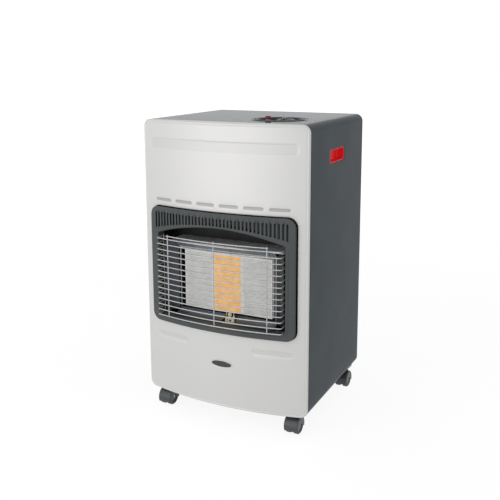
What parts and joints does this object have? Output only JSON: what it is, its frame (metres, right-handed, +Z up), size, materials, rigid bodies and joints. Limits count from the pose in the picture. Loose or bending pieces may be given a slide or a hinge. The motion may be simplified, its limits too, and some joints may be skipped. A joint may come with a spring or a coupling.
{
  "type": "portable gas cabinet heater",
  "caption": "Mobile cabinet heater with a bowed front, a guarded radiant gas burner, top controls, side grips, a lift-off rear cover and swivel casters.",
  "frame": {"origin": "the middle of the object's bounding box, on the floor under the casters", "axes": "+Z up, the guarded front looks along -Y, +X to the right of someone facing the front"},
  "size_m": [0.42, 0.4046, 0.722],
  "materials": {
    "charcoal_paint": "satin powder coat, dark blue-grey",
    "silver_paint": "satin silver metallic",
    "badge": "dark oval plate with a pale rim, no lettering",
    "grey_bezel": "satin grey",
    "bright_wire": "bright plated wire",
    "dark_steel": "matt heat-resistant paint",
    "ceramic": "unglazed perforated ceramic",
    "glowing_ceramic": "lit perforated ceramic",
    "polished_steel": "polished sheet",
    "cream_ceramic": "glazed ceramic",
    "brass": "machined",
    "red_plastic": "moulded, fine texture",
    "black_plastic": "moulded satin",
    "caster_plastic": "moulded satin grey",
    "wheel_plastic": "hard plastic tread"
  },
  "bodies": {
    "cabinet": {"cabinet_shell": "charcoal_paint", "front_panel": "silver_paint", "badge_plate": "badge", "window_bezel": "grey_bezel", "wire_guard": "bright_wire", "guard_end_left": "bright_wire", "guard_end_right": "bright_wire", "base_pan": "dark_steel", "burner_housing": "dark_steel", "burner_body": "dark_steel", "heat_shield": "dark_steel", "valve_bracket": "dark_steel", "plaque_left": "ceramic", "plaque_right": "ceramic", "plaque_centre": "glowing_ceramic", "burner_mask": "polished_steel", "reflector_upper": "polished_steel", "reflector_lower": "polished_steel", "reflector_left": "polished_steel", "reflector_right": "polished_steel", "pilot_bracket": "polished_steel", "venturi_tube": "polished_steel", "pilot_burner": "cream_ceramic", "spark_electrode": "cream_ceramic", "thermocouple": "brass", "gas_injector": "brass", "gas_pipe": "brass", "gas_valve": "brass", "hose_inlet": "brass", "handle_left": "red_plastic", "handle_right": "red_plastic", "control_dish": "black_plastic", "igniter_body": "black_plastic", "cover_catch_left": "black_plastic", "cover_catch_right": "black_plastic", "caster_mount_front_left": "polished_steel", "caster_mount_front_right": "polished_steel", "caster_mount_rear_left": "polished_steel", "caster_mount_rear_right": "polished_steel"},
    "rotor": {"valve_rotor": "brass"},
    "knob": {"control_knob": "black_plastic", "valve_spindle": "polished_steel"},
    "button": {"igniter_button": "red_plastic"},
    "cover": {"rear_cover": "charcoal_paint"},
    "fork_front_left": {"caster_hood_front_left": "caster_plastic"},
    "wheels_front_left": {"caster_axle_front_left": "polished_steel", "wheel_front_left_left": "wheel_plastic", "wheel_front_left_right": "wheel_plastic"},
    "fork_front_right": {"caster_hood_front_right": "caster_plastic"},
    "wheels_front_right": {"caster_axle_front_right": "polished_steel", "wheel_front_right_left": "wheel_plastic", "wheel_front_right_right": "wheel_plastic"},
    "fork_rear_left": {"caster_hood_rear_left": "caster_plastic"},
    "wheels_rear_left": {"caster_axle_rear_left": "polished_steel", "wheel_rear_left_left": "wheel_plastic", "wheel_rear_left_right": "wheel_plastic"},
    "fork_rear_right": {"caster_hood_rear_right": "caster_plastic"},
    "wheels_rear_right": {"caster_axle_rear_right": "polished_steel", "wheel_rear_right_left": "wheel_plastic", "wheel_rear_right_right": "wheel_plastic"}
  },
  "joints": [
    {"name": "gas_valve_turn", "type": "hinge", "parent": "cabinet", "child": "rotor", "pos_m": [0.1, -0.02775, 0.68], "axis": [0, 0, 1], "range_deg": [0, 240]},
    {"name": "knob_press", "type": "slide", "parent": "rotor", "child": "knob", "axis": [0, 0, -1], "range_m": [0, 0.005], "stiffness_N_per_m": 800, "springref_m": -0.003},
    {"name": "igniter_press", "type": "slide", "parent": "cabinet", "child": "button", "axis": [0, 0, -1], "range_m": [0, 0.007], "stiffness_N_per_m": 600, "springref_m": -0.003},
    {"name": "cover_lift_off", "type": "slide", "parent": "cabinet", "child": "cover", "axis": [0, 1, 0], "range_m": [0, 0.45]},
    {"name": "swivel_front_left", "type": "hinge", "parent": "cabinet", "child": "fork_front_left", "pos_m": [-0.17, -0.11575, 0.044], "axis": [0, 0, 1], "continuous": true},
    {"name": "roll_front_left", "type": "hinge", "parent": "fork_front_left", "child": "wheels_front_left", "pos_m": [-0.17, -0.13075, 0.02], "axis": [1, 0, 0], "continuous": true},
    {"name": "swivel_front_right", "type": "hinge", "parent": "cabinet", "child": "fork_front_right", "pos_m": [0.17, -0.11575, 0.044], "axis": [0, 0, 1], "continuous": true},
    {"name": "roll_front_right", "type": "hinge", "parent": "fork_front_right", "child": "wheels_front_right", "pos_m": [0.17, -0.13075, 0.02], "axis": [1, 0, 0], "continuous": true},
    {"name": "swivel_rear_left", "type": "hinge", "parent": "cabinet", "child": "fork_rear_left", "pos_m": [-0.187, 0.17125, 0.044], "axis": [0, 0, 1], "continuous": true},
    {"name": "roll_rear_left", "type": "hinge", "parent": "fork_rear_left", "child": "wheels_rear_left", "pos_m": [-0.187, 0.15625, 0.02], "axis": [1, 0, 0], "continuous": true},
    {"name": "swivel_rear_right", "type": "hinge", "parent": "cabinet", "child": "fork_rear_right", "pos_m": [0.187, 0.17125, 0.044], "axis": [0, 0, 1], "continuous": true},
    {"name": "roll_rear_right", "type": "hinge", "parent": "fork_rear_right", "child": "wheels_rear_right", "pos_m": [0.187, 0.15625, 0.02], "axis": [1, 0, 0], "continuous": true}
  ]
}
